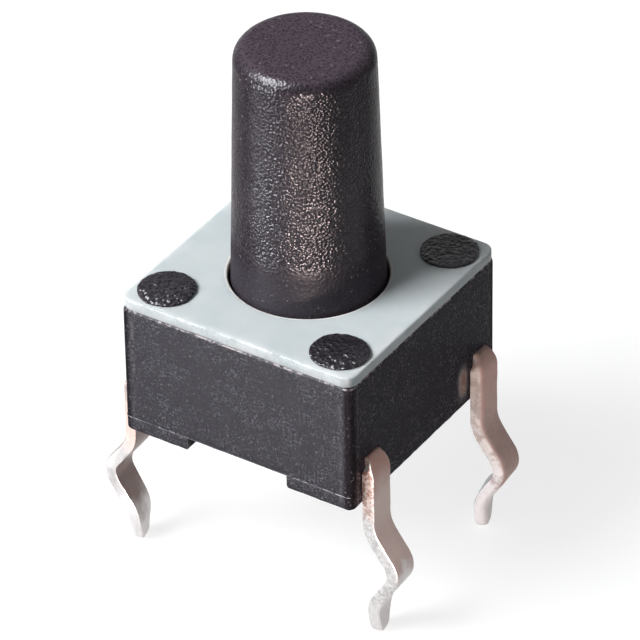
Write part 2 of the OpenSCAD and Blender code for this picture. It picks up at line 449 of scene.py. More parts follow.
def build_housing():
    bm = bmesh.new()
    skin(bm, housing_wall())
    walls = finish_mesh("housing_walls", bm)
    tools = bmesh.new()
    prism(tools, rail_channel(), -CUT_REACH, CUT_REACH, along_y=True)
    for side in (-1, 1):
        cut_notch(tools, side)
        for row in (-1, 1):
            cut_pocket(tools, side, row)
    cut(walls, finish_mesh("tools", tools))

    bm = bmesh.new()
    bm.from_mesh(walls.data)
    bpy.data.objects.remove(walls)
    for corner in HEADS:
        stake(bm, corner)
    return finish_mesh("housing_moulding", bm, 45)


# Cover


def build_cover():
    bm = bmesh.new()
    like = square_loop(COVER_HALF, COVER_ROUND)

    def outer(inset, drop):
        return at_height(square_loop(COVER_HALF - inset, COVER_ROUND - inset), COVER_TOP - drop)

    def inner(step, drop):
        return at_height(circle_loop(HOLE_R + step, like), COVER_TOP - drop)

    thickness = COVER_TOP - BODY_TOP
    rings = [inner(HOLE_CHAMFER, thickness), inner(0.0, thickness - HOLE_CHAMFER)]
    rings += [inner(step, drop) for step, drop in HOLE_EDGE]
    start = circle_loop(HOLE_R + FLAT_START, like)
    end = square_loop(COVER_HALF - FLAT_END, COVER_ROUND - FLAT_END)
    for i in range(COVER_SPANS + 1):
        ring = []
        for p in blend_loops(start, end, i / COVER_SPANS):
            ring.append((p[0], p[1], COVER_TOP + uneven((p[0], p[1], 0), COVER_WAVES)))
        rings.append(ring)
    rings += [outer(inset, drop) for inset, drop in COVER_EDGE + COVER_FOOT]
    rows = skin(bm, rings, (False, False))
    close_ring(bm, rows[-1], rows[0])
    cover = finish_mesh("cover_plate", bm)

    tools = bmesh.new()
    for x, y in HEADS:
        hole = round_loop(POST_HOLE_R, POST_STEPS, (x * STAKE_AT, y * STAKE_AT))
        prism(tools, hole, BODY_TOP - POST_ROOT, CUT_REACH)
    cut(cover, finish_mesh("tools", tools))
    cover.data.set_sharp_from_angle(angle=math.radians(SHARP))
    return cover


# Button


def button_profile():
    """The button's radius and height from its foot up to the middle of its top."""
    edge = BUTTON_EDGE
    edge_z = BUTTON_TOP - BUTTON_ROUND
    edge_r = STEM_TOP_R - BUTTON_ROUND
    lean = (STEM_R - STEM_TOP_R) / (edge_z - COVER_TOP)
    tilt = math.atan(lean)
    root_r = STEM_R + (COVER_TOP - FLANGE_TOP) * lean
    profile = [(FOOT_R - FOOT_EDGE, FOOT_Z), (FOOT_R, FOOT_Z + FOOT_EDGE), (FOOT_R, FLANGE_BOTTOM)]
    profile += [(FLANGE_R - edge, FLANGE_BOTTOM), (FLANGE_R, FLANGE_BOTTOM + edge)]
    profile += [(FLANGE_R, FLANGE_TOP - edge), (FLANGE_R - edge, FLANGE_TOP), (root_r + edge, FLANGE_TOP)]
    for i in range(STEM_STEPS + 1):
        z = FLANGE_TOP + edge + (edge_z - FLANGE_TOP - edge) * i / STEM_STEPS
        profile.append((STEM_TOP_R + (edge_z - z) * lean, z))
    for i in range(1, STEM_ROUND_STEPS + 1):
        a = tilt + (math.pi / 2 - tilt) * i / STEM_ROUND_STEPS
        profile.append((edge_r + BUTTON_ROUND * math.cos(a), edge_z + BUTTON_ROUND * math.sin(a)))
    return profile + [(edge_r * share, BUTTON_TOP) for share in TOP_SHARES]


def build_button():
    bm = bmesh.new()
    rings = []
    for radius, z in button_profile():
        shown = z > FLANGE_TOP
        on_top = z >= BUTTON_TOP - MM
        ring = []
        for p in round_loop(radius, ROUND_STEPS):
            swell = uneven((p[0], p[1], z), STEM_WAVES) if shown else 0.0
            out = p.normalized() * swell
            sink = min(0.0, swell) if on_top else 0.0
            ring.append((p[0] + out[0], p[1] + out[1], z + sink))
        rings.append(ring)
    skin(bm, rings)
    for side in (-1, 1):
        reach = [side * FLANGE_R * EAR_START, side * EAR_R]
        prism(bm, rectangle(reach, (-EAR_HALF, EAR_HALF)), FLANGE_BOTTOM, FLANGE_TOP)
    return finish_mesh("push_button_moulding", bm)


# Snap dome


def build_dome():
    bm = bmesh.new()
    curve_r = (DOME_R**2 + DOME_H**2) / (2 * DOME_H)
    to_centre = curve_r - DOME_H

    def cap(radius):
        reach = math.asin(math.sqrt(radius**2 - to_centre**2) / radius)
        turns = [reach * i / DOME_STEPS for i in range(1, DOME_STEPS + 1)]
        return [(radius * math.sin(a), FLOOR_Z - to_centre + radius * math.cos(a)) for a in turns]

    above = cap(curve_r)
    below = cap(curve_r - DOME_T)
    skin(bm, [at_height(round_loop(r, DOME_ROUND_STEPS), z) for r, z in above + below[::-1]])
    return finish_mesh("snap_dome_disc", bm, 60)


# Contact strips with their legs


def heading(p, q):
    """Unit vector from one point to the next."""
    return (q - p).normalized()


def bend(before, corner, after, inside):
    """Points and directions along the arc that rounds one corner of a strip's centre line."""
    a = heading(before, corner)
    b = heading(corner, after)
    angle = a.angle_signed(b)
    radius = inside + STRIP_T / 2
    way = -1 if angle > 0 else 1
    left = Vector((-a[1], a[0])) * way
    centre = corner - a * radius * math.tan(abs(angle) / 2) + left * radius
    knots = []
    for k in range(BEND_STEPS + 1):
        t = abs(angle) * k / BEND_STEPS
        point = centre + (a * math.sin(t) - left * math.cos(t)) * radius
        knots.append((point, (a * math.cos(t) + left * math.sin(t)).normalized()))
    return knots


def leg_path():
    """Centre line of a leg in X and Z, from inside the housing to the tip, with its directions."""
    corners = [
        Vector((BODY_HALF - LEG_ROOT, STRIP_MID)),
        Vector((LEG_X, STRIP_MID)),
        Vector((LEG_X, -KINK_START)),
        Vector((LEG_X + KINK_OUT, -KINK_MID)),
        Vector((LEG_X + TIP_OUT, -KINK_END)),
        Vector((LEG_X + TIP_OUT, LEG_BOTTOM)),
    ]
    insides = [SHOULDER_R, SOFT_R, PEAK_R, SOFT_R]
    knots = [(corners[0], heading(corners[0], corners[1]))]
    for before, corner, after, inside in zip(corners, corners[1:], corners[2:], insides):
        knots += bend(before, corner, after, inside)
    tip = corners[-1]
    down = heading(corners[-2], tip)
    knots.append((tip - down * TIP_ROUND, down))
    path = []
    for (p, d), (q, e) in zip(knots, knots[1:]):
        pieces = max(1, round((q - p).length / LEG_STEP))
        for k in range(pieces):
            share = k / pieces
            path.append((p.lerp(q, share), d.lerp(e, share).normalized()))
    for a in quarter_turn(BEND_STEPS) + [math.radians(90)]:
        path.append((tip - down * TIP_ROUND * (1 - math.sin(a)), down))
    return path


def strip_section(width, thickness, far_round, near_round):
    """Corners of a strip's cross-section: across the strip, and out of its outer face."""
    points = []
    quarters = [
        (1, 1, far_round, 0),
        (-1, 1, near_round, 90),
        (-1, -1, far_round, 180),
        (1, -1, far_round, 270),
    ]
    for across, out, radius, start in quarters:
        middle = across * (width / 2 - radius)
        level = out * (thickness / 2 - radius)
        for k in range(SECTION_STEPS + 1):
            a = math.radians(start + 90 * k / SECTION_STEPS)
            points.append((middle + radius * math.cos(a), level + radius * math.sin(a)))
        if across == out:
            for share in (0.25, 0.5, 0.75):
                points.append((middle * (1 - 2 * share), out * thickness / 2))
    return points


def build_leg(bm, side, row, seed):
    """One leg: a narrower neck at the housing, a soft shoulder, the kink and a coined, twisted tip."""
    lean, twist, worn = LEG_BENDS[side, row]
    rings = []
    for point, direction in leg_path():
        drop = point[1] - LEG_BOTTOM
        narrow = ease(drop / TIP_TAPER)
        end = max(0.0, 1 - drop / TIP_ROUND)
        rounded = TIP_END_WIDTH + (1 - TIP_END_WIDTH) * math.sqrt(max(0.0, 1 - end**2))
        neck = NECK_CUT * (1 - ease((point[0] - BODY_HALF) / NECK_LENGTH))
        width = (TIP_W + (STRIP_W - TIP_W) * narrow) * rounded - neck
        thickness = STRIP_T * (TIP_KEPT_THICKNESS + (1 - TIP_KEPT_THICKNESS) * rounded)
        corner = EDGE_ROUND + TIP_EDGE_ROUND * (1 - narrow)
        near_corner = min(corner + worn, thickness * EDGE_LIMIT)
        normal = Vector((-direction[1], direction[0]))
        low = 1 - ease(drop / LEAN_LENGTH)
        turn = Matrix.Rotation(math.radians(twist) * low, 2)
        middle = side * (point[0] + lean * low)
        ring = []
        for across, out in strip_section(width, thickness, corner, near_corner):
            wobble = uneven((across + seed, out * WAVE_DEPTH, drop), LEG_WAVES, seed)
            flat = normal * (out + wobble)
            spot = turn @ Vector((side * flat[0], across * (1 + wobble)))
            ring.append((middle + spot[0], row * STRIP_Y + neck / 2 + spot[1], point[1] + flat[1]))
        rings.append(ring)
    skin(bm, rings)


def build_strip(node, row, name, seed):
    """The strip inside the housing, kept from its node, with two finer legs for the plain ones."""
    bm = bmesh.new()
    bm.from_mesh(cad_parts[node].data)
    for side in (-1, 1):
        bmesh.ops.bisect_plane(
            bm,
            geom=bm.verts[:] + bm.edges[:] + bm.faces[:],
            plane_co=(side * (BODY_HALF - STRIP_END) * MM, 0, 0),
            plane_no=(side, 0, 0),
            clear_outer=True,
        )
        edges = [e for e in bm.edges if e.is_boundary]
        if edges:
            bmesh.ops.holes_fill(bm, edges=edges)
    for side in (-1, 1):
        build_leg(bm, side, row, seed + side)
    return finish_mesh(name, bm, 50)


# Materials


class Tree:
    """A short way to write a node material: each call adds nodes and returns the last one's output.

    Places on a piece are in millimetres, and textures are sized by their bumps per millimetre.
    """

    def __init__(self, name, world=False):
        if world:
            self.owner = bpy.data.worlds.new(name)
        else:
            self.owner = bpy.data.materials.new(name)
        self.owner.use_nodes = True
        self.tree = self.owner.node_tree
        self.tree.nodes.clear()

    def add(self, kind, out=0, ins=None, **settings):
        made = self.tree.nodes.new(kind)
        for key, value in settings.items():
            setattr(made, key, value)
        for key, value in (ins or {}).items():
            if isinstance(value, bpy.types.NodeSocket):
                self.tree.links.new(value, made.inputs[key])
            else:
                made.inputs[key].default_value = value
        return made.outputs[out] if len(made.outputs) else made

    def coords(self):
        return self.add("ShaderNodeTexCoord", "Object")

    def stretched(self, x=1.0, y=1.0, z=1.0):
        """Coordinates that make a texture longer along an axis whose share is below 1."""
        return self.add("ShaderNodeMapping", 0, {"Vector": self.coords(), "Scale": (x, y, z)})

    def axes(self):
        """The place on the piece along X, Y and Z, in millimetres."""
        split = self.tree.nodes.new("ShaderNodeSeparateXYZ")
        self.tree.links.new(self.coords(), split.inputs[0])
        return [self.times(place, 1 / MM) for place in split.outputs]

    def noise(self, bumps, detail, roughness, at=None):
        """Soft noise round 0.5, with layers of finer detail, and how strong those are."""
        ins = {"Scale": bumps / MM, "Detail": detail, "Roughness": roughness}
        ins["Vector"] = at or self.coords()
        return self.add("ShaderNodeTexNoise", "Fac", ins)

    def cells(self, bumps):
        """Distance from the middle of the nearest cell."""
        return self.add("ShaderNodeTexVoronoi", "Distance", {"Scale": bumps / MM, "Vector": self.coords()})

    def math(self, operation, a, b=0.0, clamp=False):
        return self.add("ShaderNodeMath", 0, {0: a, 1: b}, operation=operation, use_clamp=clamp)

    def times(self, product, *factors):
        for factor in factors:
            product = self.math("MULTIPLY", product, factor)
        return product

    def plus(self, a, b):
        return self.math("ADD", a, b)

    def rest(self, share):
        """What a share leaves of 1."""
        return self.math("SUBTRACT", 1.0, share)

    def span(self, value, low, high, to_low=0.0, to_high=1.0):
        """Maps a value from one range to another, smoothly and held at both ends."""
        ins = {"Value": value, "From Min": low, "From Max": high, "To Min": to_low, "To Max": to_high}
        return self.add("ShaderNodeMapRange", 0, ins, interpolation_type="SMOOTHSTEP")

    def between(self, share, at_none, at_all):
        """Goes from one value to another as a share goes from 0 to 1."""
        return self.span(share, 0.0, 1.0, at_none, at_all)

    def band(self, value, start, full, fading, gone):
        """1 in the middle of a range, with smooth slopes down to 0 at both ends."""
        return self.times(self.span(value, start, full), self.span(value, gone, fading))

    def mix(self, share, a, b):
        return self.add("ShaderNodeMix", 2, {0: share, 6: a, 7: b}, data_type="RGBA")

    def bump(self, height, depth, strength=1.0):
        """A normal bent by a height from 0 to 1 that stands for a depth in millimetres."""
        if isinstance(depth, bpy.types.NodeSocket):
            distance = self.times(depth, MM)
        else:
            distance = depth * MM
        ins = {"Height": height, "Strength": strength, "Distance": distance}
        return self.add("ShaderNodeBump", 0, ins)

    def flecks(self, start, full):
        """Scattered specks of dust and glass fibre, on the button partly painted sparkle; more with a
        lower start.
        """
        return self.span(self.noise(15.0, 1.0, 0.5), start, full, 0.0, 0.8)

    def matt_gloss(self, level):
        """A specular level that fades where the surface is seen at a low angle, as on eroded plastic."""
        facing = self.add("ShaderNodeLayerWeight", "Facing", {"Blend": 0.5})
        return self.times(self.span(facing, 0.3, 0.52, 1.0, 0.25), level)

    def surface(self, ins):
        shader = self.add("ShaderNodeBsdfPrincipled", 0, ins)
        self.add("ShaderNodeOutputMaterial", 0, {"Surface": shader})
        return self.owner


def colour(red, green, blue):
    return (red, green, blue, 1.0)


def grey(value):
    return colour(value, value, value)


# Black moulding

MOULDING_GRAIN = (colour(0.004, 0.003, 0.005), colour(0.119, 0.112, 0.137))
MOULDING_CLOUD = colour(0.012, 0.01, 0.016)
MOULDING_BLOTCH = colour(0.019, 0.016, 0.023)
# Painted highlight: the broken pale line beside each upright corner
PAINTED_HIGHLIGHT_BY_CORNERS = colour(0.16, 0.14, 0.15)
# Painted shade: the darker upright corners
PAINTED_SHADE_ON_CORNERS = colour(0.014, 0.01, 0.013)
MOULDING_FLECK = colour(0.24, 0.225, 0.24)
MOULDING_HEAD = colour(0.024, 0.02, 0.026)
# Painted highlight on the burr at the housing's upper edge and on the rails' flash
PAINTED_HIGHLIGHT_ON_RIDGES = colour(0.46, 0.41, 0.42)
MOULDING_CHIP = colour(0.45, 0.42, 0.43)
# Painted reflection: the copper tint of the polished spot beside the far leg
PAINTED_COPPER_REFLECTION = colour(1.0, 0.62, 0.4)

# Places between which the moulding's surface changes, or starts, is full, fades and ends

CORNER_LINE = (BODY_HALF - 0.36, BODY_HALF - 0.3, BODY_HALF - 0.26, BODY_HALF - 0.2)
CORNER_SHADE = (BODY_HALF - 0.26, BODY_HALF - 0.1)
HEAD_START = (COVER_TOP - 0.06, COVER_TOP)
TOP_LINE = (BODY_TOP - 0.068, BODY_TOP - 0.046, BODY_TOP - 0.026, BODY_TOP - 0.014)
RAIL_LINE = (RAIL_H - 0.014, RAIL_H - 0.004, RAIL_H + 0.004, RAIL_H + 0.014)
RAIL_START = (RAIL_INNER - 0.04, RAIL_INNER + 0.04)
FOOT_CHIPS = (0.05, 0.02)
LEG_EDGE = STRIP_Y - STRIP_W / 2
GLEAM_ALONG = (LEG_EDGE - 0.58, LEG_EDGE - 0.28, LEG_EDGE - 0.24, LEG_EDGE + 0.02)
GLEAM_FACE = (BODY_HALF - 0.1, BODY_HALF - 0.02)
GLEAM_HEIGHT = (0.0, 0.6, 0.7, 1.3)


def moulding_grain(t, grain, cloud):
    """Fine pale fibres in a black moulding, thinned out in clouds and wider blotches."""
    blotch = t.noise(1.5, 5.0, 0.7)
    tone = t.mix(t.span(grain, 0.45, 0.59), *MOULDING_GRAIN)
    tone = t.mix(t.span(cloud, 0.42, 0.56, 0.0, 0.75), tone, MOULDING_CLOUD)
    return t.mix(t.span(blotch, 0.42, 0.58, 0.0, 0.75), tone, MOULDING_BLOTCH)


def moulding_corners(t, tone, inward, corner, cloud):
    """The upright corners in painted shade, with a broken line of painted highlight beside each."""
    line = t.band(inward, *CORNER_LINE)
    tone = t.mix(t.times(line, 0.5, t.span(cloud, 0.45, 0.6)), tone, PAINTED_HIGHLIGHT_BY_CORNERS)
    return t.mix(t.times(corner, 0.75), tone, PAINTED_SHADE_ON_CORNERS)


def moulding_edges(t, tone, x, z):
    """Broken lines of painted highlight on the upper edge's burr and the rails' flash, and chips at the
    foot.
    """
    broken = t.span(t.noise(5.2, 3.0, 0.7), 0.46, 0.6)
    on_rail = t.span(t.math("ABSOLUTE", x), *RAIL_START)
    lines = t.math("MAXIMUM", t.band(z, *TOP_LINE), t.times(t.band(z, *RAIL_LINE), on_rail))
    tone = t.mix(t.times(lines, broken), tone, PAINTED_HIGHLIGHT_ON_RIDGES)
    chips = t.times(t.span(z, *FOOT_CHIPS), t.span(t.noise(8.0, 3.0, 0.7), 0.55, 0.62))
    return t.mix(chips, tone, MOULDING_CHIP)


def moulding_gleam(t, x, y, z):
    """A soft polished spot beside the far leg, its reflection tinted copper: a painted reflection of that
    leg.
    """
    return t.times(t.band(y, *GLEAM_ALONG), t.span(x, *GLEAM_FACE), t.band(z, *GLEAM_HEIGHT))


def housing_material():
    t = Tree("black_moulding_looks")
    x, y, z = t.axes()
    grain = t.noise(17.0, 3.0, 0.65)
    cloud = t.noise(4.2, 4.0, 0.75)
    inward = t.math("MINIMUM", t.math("ABSOLUTE", x), t.math("ABSOLUTE", y))
    corner = t.span(inward, *CORNER_SHADE)
    on_head = t.span(z, *HEAD_START)
    gleam = moulding_gleam(t, x, y, z)

    tone = moulding_grain(t, grain, cloud)
    tone = moulding_corners(t, tone, inward, corner, cloud)
    tone = t.mix(t.flecks(0.65, 0.73), tone, MOULDING_FLECK)
    tone = t.mix(t.times(on_head, 0.85), tone, MOULDING_HEAD)
    tone = moulding_edges(t, tone, x, z)

    pits = t.plus(t.cells(10.0), t.noise(7.0, 2.0, 0.5))
    relief = t.plus(t.between(on_head, 0.03, 0.048), t.between(gleam, 0.0, -0.027))
    gloss = t.times(t.between(on_head, 0.12, 0.22), t.between(corner, 1.0, 0.2))
    return t.surface(
        {
            "Base Color": tone,
            "Roughness": t.plus(t.between(on_head, 0.42, 0.25), t.between(gleam, 0.0, -0.27)),
            "Specular IOR Level": t.plus(t.matt_gloss(gloss), t.between(gleam, 0.0, 1.6)),
            "Specular Tint": t.mix(gleam, grey(1.0), PAINTED_COPPER_REFLECTION),
            "Normal": t.bump(t.mix(on_head, grain, pits), relief),
        }
    )


# Black button

BUTTON_GRAIN = (colour(0.01, 0.007, 0.01), colour(0.042, 0.031, 0.041))
BUTTON_BLOTCH = colour(0.012, 0.008, 0.012)
# Painted light: the top's grain is lighter, as light falls on the top
PAINTED_LIGHT_TOP_GRAIN = (colour(0.036, 0.025, 0.035), colour(0.082, 0.06, 0.079))
# Painted reflection of the pale cover on the button's foot
PAINTED_COVER_REFLECTION = colour(0.056, 0.05, 0.06)
# Pale specks on the button: partly dust and fibre, partly painted sparkle
BUTTON_DUST_AND_SPARKLE = colour(0.26, 0.23, 0.25)

# Heights between which the button's surface changes

TOP_TONE = (BUTTON_TOP - 0.2, BUTTON_TOP - 0.02)
COVER_REFLECTION_HEIGHTS = (4.7, 4.2)
ERODED = (4.35, 5.1, BUTTON_TOP - 0.6, BUTTON_TOP - 0.05)
GLOSS_FADE = (5.5, 9.0)
BASE_DULLNESS = (4.3, 4.9)
BASE_ROUGHNESS = (5.0, 4.4)


def button_material():
    """Spark-eroded black plastic, smoother near the cover and on the rounded top."""
    t = Tree("black_button_looks")
    z = t.axes()[2]
    pits = t.cells(16.0)
    blotch = t.noise(1.6, 3.0, 0.6)
    in_pit = t.span(pits, 0.2, 0.6)
    tone = t.mix(in_pit, *BUTTON_GRAIN)
    tone = t.mix(t.span(blotch, 0.4, 0.7, 0.0, 0.5), tone, BUTTON_BLOTCH)
    # The top is painted lighter: painted light
    on_top = t.span(z, *TOP_TONE, 0.0, 0.8)
    tone = t.mix(on_top, tone, t.mix(in_pit, *PAINTED_LIGHT_TOP_GRAIN))
    # The foot is lightened towards the cover: painted reflection of the cover
    tone = t.mix(t.span(z, *COVER_REFLECTION_HEIGHTS, 0.0, 0.6), tone, PAINTED_COVER_REFLECTION)
    tone = t.mix(t.flecks(0.7, 0.76), tone, BUTTON_DUST_AND_SPARKLE)

    gloss = t.times(t.span(z, *GLOSS_FADE, 0.17, 0.1), t.span(z, *BASE_DULLNESS, 0.3, 1.0))
    relief = t.between(t.band(z, *ERODED), 0.008, 0.0195)
    return t.surface(
        {
            "Base Color": tone,
            "Roughness": t.span(z, *BASE_ROUGHNESS, 0.25, 0.5),
            "Specular IOR Level": t.matt_gloss(gloss),
            "Normal": t.bump(t.times(pits, pits), relief),
        }
    )


# Pale cover

COVER_CLOUD = (colour(0.6, 0.655, 0.67), colour(0.66, 0.705, 0.715))
COVER_SCUFF = colour(0.84, 0.86, 0.86)
COVER_BEVEL = colour(0.42, 0.45, 0.46)
# Painted light: the rim is lighter where light shows through the translucent edge
PAINTED_RIM_LIGHT = colour(0.77, 0.79, 0.79)
COVER_LOW_LINE = colour(0.8, 0.82, 0.82)
# Painted highlight round the edge of the hole
PAINTED_HOLE_HIGHLIGHT = colour(0.97, 0.95, 0.92)
COVER_IN_HOLE = colour(0.5, 0.4, 0.36)

# Places between which the cover's surface changes

SCUFFED = (-2.84, -2.95)
BEVEL_OUT = (-2.965, -2.99)
BEVEL_UP = (COVER_TOP - 0.08, COVER_TOP - 0.03)
RIM_LIGHT_REACH = (2.65, 3.0)
LOW_LINE = (BODY_TOP + 0.035, BODY_TOP + 0.01)
HOLE_HIGHLIGHT = (HOLE_R + 0.08, HOLE_R + 0.05)
IN_HOLE = (COVER_TOP - 0.04, COVER_TOP - 0.1)


def cover_scuffs(t, tone, y, z):
    """The worn -Y edge: fine streaks on the rim of the top, and a patchy bevel."""
    streaks = t.noise(9.0, 4.0, 0.7, at=t.stretched(x=0.25))
    scuffed = t.times(t.span(y, *SCUFFED, 0.0, 0.4), t.span(streaks, 0.35, 0.65))
    tone = t.mix(scuffed, tone, COVER_SCUFF)
    patches = t.span(t.noise(3.8, 4.0, 0.75), 0.42, 0.56)
    on_bevel = t.times(t.span(y, *BEVEL_OUT), t.span(z, *BEVEL_UP, 0.3, 1.0))
    return t.mix(t.times(on_bevel, patches), tone, COVER_BEVEL)


def cover_hole(t, tone, z):
    """The hole's edge in a pale line of painted highlight, and the warm shade inside the hole."""
    flat = t.add("ShaderNodeVectorMath", 0, {0: t.coords(), 1: (1, 1, 0)}, operation="MULTIPLY")
    radius = t.times(t.add("ShaderNodeVectorMath", 1, {0: flat}, operation="LENGTH"), 1 / MM)
    line = t.span(radius, *HOLE_HIGHLIGHT)
    tone = t.mix(line, tone, PAINTED_HOLE_HIGHLIGHT)
    return t.mix(t.times(line, t.span(z, *IN_HOLE)), tone, COVER_IN_HOLE)


def cover_material():
    t = Tree("pale_moulding_looks")
    x, y, z = t.axes()
    cloud = t.noise(0.9, 3.0, 0.6)
    grain = t.noise(9.0, 3.0, 0.6)
    tone = t.mix(t.span(cloud, 0.3, 0.7), *COVER_CLOUD)
    tone = cover_scuffs(t, tone, y, z)
    farther = t.math("MAXIMUM", t.math("ABSOLUTE", x), t.math("ABSOLUTE", y))
    # Painted light on the rim, as light shows through the edge
    rim_light = t.times(t.span(farther, *RIM_LIGHT_REACH, 0.0, 0.5), t.span(cloud, 0.35, 0.6))
    tone = t.mix(rim_light, tone, PAINTED_RIM_LIGHT)
    tone = t.mix(t.span(z, *LOW_LINE, 0.0, 0.6), tone, COVER_LOW_LINE)
    tone = cover_hole(t, tone, z)
    return t.surface(
        {
            "Base Color": tone,
            "Roughness": t.span(grain, 0.3, 0.7, 0.42, 0.56),
            "Specular IOR Level": 0.1,
            "Subsurface Weight": 0.35,
            "Subsurface Radius": (0.9, 1.0, 1.1),
            "Subsurface Scale": 0.25 * MM,
            "Normal": t.bump(grain, 0.01, 0.12),
        }
    )


# Silvered strips

# Each pair's second tone is the far leg's copy, darker: painted shade
BRONZE_AND_FAR_SHADE = (colour(0.5, 0.375, 0.34), colour(0.17, 0.125, 0.11))
SILVER_AND_FAR_SHADE = (colour(0.72, 0.69, 0.68), colour(0.52, 0.535, 0.535))
TARNISHED = (colour(0.23, 0.165, 0.15), colour(0.92, 0.89, 0.88))
BARE_COPPER = colour(0.32, 0.17, 0.13)
SHEARED_COPPER = (colour(0.5, 0.25, 0.17), colour(0.82, 0.72, 0.67))
SHEARED_PLATE = (colour(0.36, 0.355, 0.345), colour(0.6, 0.595, 0.58))
SHEARED_TIP = colour(0.72, 0.71, 0.7)
FAR_EDGE = (colour(0.37, 0.35, 0.32), colour(0.5, 0.515, 0.515))
PEACH = (colour(0.4, 0.31, 0.28), colour(0.76, 0.56, 0.48))
DULL_PLATE = (colour(0.44, 0.415, 0.405), colour(0.68, 0.655, 0.64))
DULL_TIP = colour(0.76, 0.745, 0.735)
BURR = colour(0.94, 0.92, 0.9)
MOTTLE = colour(0.2, 0.165, 0.15)

# Heights between which one tone on a leg goes over to the next

BRONZE_TO_SILVER = (-1.45, -1.85)
TARNISH_FADE = (-2.2, -3.2)
BARE_START = (-0.1, 1.1)
COPPER_TO_PLATE = (0.1, -0.6)
PLATE_TO_TIP = (-2.3, -3.0)
PEACH_FADE = (0.5, -0.1)
PEACH_TO_DULL = (-0.3, -1.2)
DULL_TO_TIP = (-2.0, -2.8)
FAR_EDGE_FADE = (0.3, -2.2)
MOTTLE_START = (-2.3, -1.3)


def strip_faces(t, low, right, far_leg):
    """Rolled faces: bronze above, silver below, bare copper at the housing, and the far leg in painted
    shade.
    """
    bronze = t.mix(t.times(far_leg, 0.6), *BRONZE_AND_FAR_SHADE)
    face = t.mix(t.span(low, *BRONZE_TO_SILVER), bronze, t.mix(far_leg, *SILVER_AND_FAR_SHADE))
    tarnished = t.mix(t.span(low, *TARNISH_FADE), *TARNISHED)
    face = t.mix(t.rest(right), face, tarnished)
    bare = t.times(t.span(low, *BARE_START), t.between(far_leg, 1.0, 0.3))
    return t.mix(bare, face, BARE_COPPER)


def front_edge(t, low, grain):
    """The sheared edge of the front leg: raw copper above, a thin smear of plating below."""
    copper = t.mix(t.span(grain, 0.42, 0.6), *SHEARED_COPPER)
    plated = t.mix(t.span(t.noise(14.0, 4.0, 0.75), 0.36, 0.62), *SHEARED_PLATE)
    plated = t.mix(t.span(low, *PLATE_TO_TIP, 0.0, 0.7), plated, SHEARED_TIP)
    return t.mix(t.span(low, *COPPER_TO_PLATE), copper, plated)


def left_edge(t, low, drift):
    """The sheared edges on the left: peach above, dull plating below, pale at the tip."""
    peach = t.mix(t.span(low, *PEACH_FADE), *PEACH)
    dull = t.mix(t.span(drift, 0.42, 0.6), *DULL_PLATE)
    dull = t.mix(t.span(low, *DULL_TO_TIP), dull, DULL_TIP)
    return t.mix(t.span(low, *PEACH_TO_DULL), peach, dull)


def strip_material():
    t = Tree("silvered_strip_looks")
    x, y, z = t.axes()
    facing = t.add("ShaderNodeSeparateXYZ", 1, {0: t.add("ShaderNodeNewGeometry", "Normal")})
    facing = t.math("ABSOLUTE", facing)
    sheared = t.span(facing, 0.55, 0.85)
    right = t.span(x, -0.5, 0.5)
    back = t.span(y, -0.5, 0.5)
    front_leg = t.times(right, t.rest(back))
    far_leg = t.times(right, back)
    drift = t.noise(1.4, 3.0, 0.6)
    grain = t.noise(16.0, 3.0, 0.65)
    scratches = t.noise(15.0, 3.0, 0.6, at=t.stretched(z=0.12))
    low = t.plus(z, t.times(t.math("SUBTRACT", drift, 0.5), 1.6))
    low = t.plus(low, t.times(far_leg, 0.5))

    far_edge = t.mix(t.span(low, *FAR_EDGE_FADE), *FAR_EDGE)
    edge = t.mix(t.rest(right), far_edge, left_edge(t, low, drift))
    edge = t.mix(front_leg, edge, front_edge(t, low, grain))
    tone = t.mix(sheared, strip_faces(t, low, right, far_leg), edge)
    burr = t.times(t.band(facing, 0.3, 0.45, 0.6, 0.8), t.span(grain, 0.4, 0.52, 0.25, 1.0), front_leg)
    tone = t.mix(burr, tone, BURR)
    tone = t.mix(t.span(scratches, 0.35, 0.7, 0.0, 0.2), tone, grey(0.3))
    patches = t.span(t.noise(3.6, 4.0, 0.75), 0.44, 0.6, 0.0, 0.75)
    above_tip = t.span(low, *MOTTLE_START, 0.1, 1.0)
    mottled = t.times(far_leg, patches, above_tip, t.between(sheared, 0.4, 1.0))
    tone = t.mix(mottled, tone, MOTTLE)
    return t.surface(
        {
            "Base Color": tone,
            "Metallic": 0.4,
            "Roughness": t.plus(t.span(grain, 0.3, 0.7, 0.32, 0.44), t.times(far_leg, 0.45)),
            "Normal": t.bump(t.plus(t.times(grain, 0.5), scratches), 0.01, 0.2),
        }
    )


# Spring steel

STEEL = (colour(0.5, 0.49, 0.47), colour(0.66, 0.65, 0.63))


def dome_material():
    t = Tree("spring_steel_looks")
    lines = t.noise(26.0, 3.0, 0.6, at=t.stretched(y=0.06))
    return t.surface(
        {
            "Base Color": t.mix(t.span(lines, 0.3, 0.7), *STEEL),
            "Metallic": 1.0,
            "Roughness": t.span(lines, 0.3, 0.7, 0.24, 0.4),
            "Normal": t.bump(lines, 0.004, 0.2),
        }
    )


# Pieces on their bodies


def dress(piece, body, node, material):
    """Gives a piece its material, and puts it in its node's place on its body."""
    piece.data.materials.clear()
    piece.data.materials.append(material)
    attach(piece, body)
    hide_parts(node)
    return piece


dress(build_housing(), "switch_body", "housing", housing_material())
dress(build_cover(), "switch_body", "cover", cover_material())
dress(build_button(), "push_button", "button", button_material())
metal = strip_material()
centre_strip = build_strip("centre_contact_strip", 1, "centre_strip_and_legs", 5.0)
dress(centre_strip, "switch_body", "centre_contact_strip", metal)
rim_strip = build_strip("rim_contact_strip", -1, "rim_strip_and_legs", 15.0)
dress(rim_strip, "switch_body", "rim_contact_strip", metal)
dome = dress(build_dome(), "switch_body", "snap_dome", dome_material())
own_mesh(dome)


# Floor and surroundings

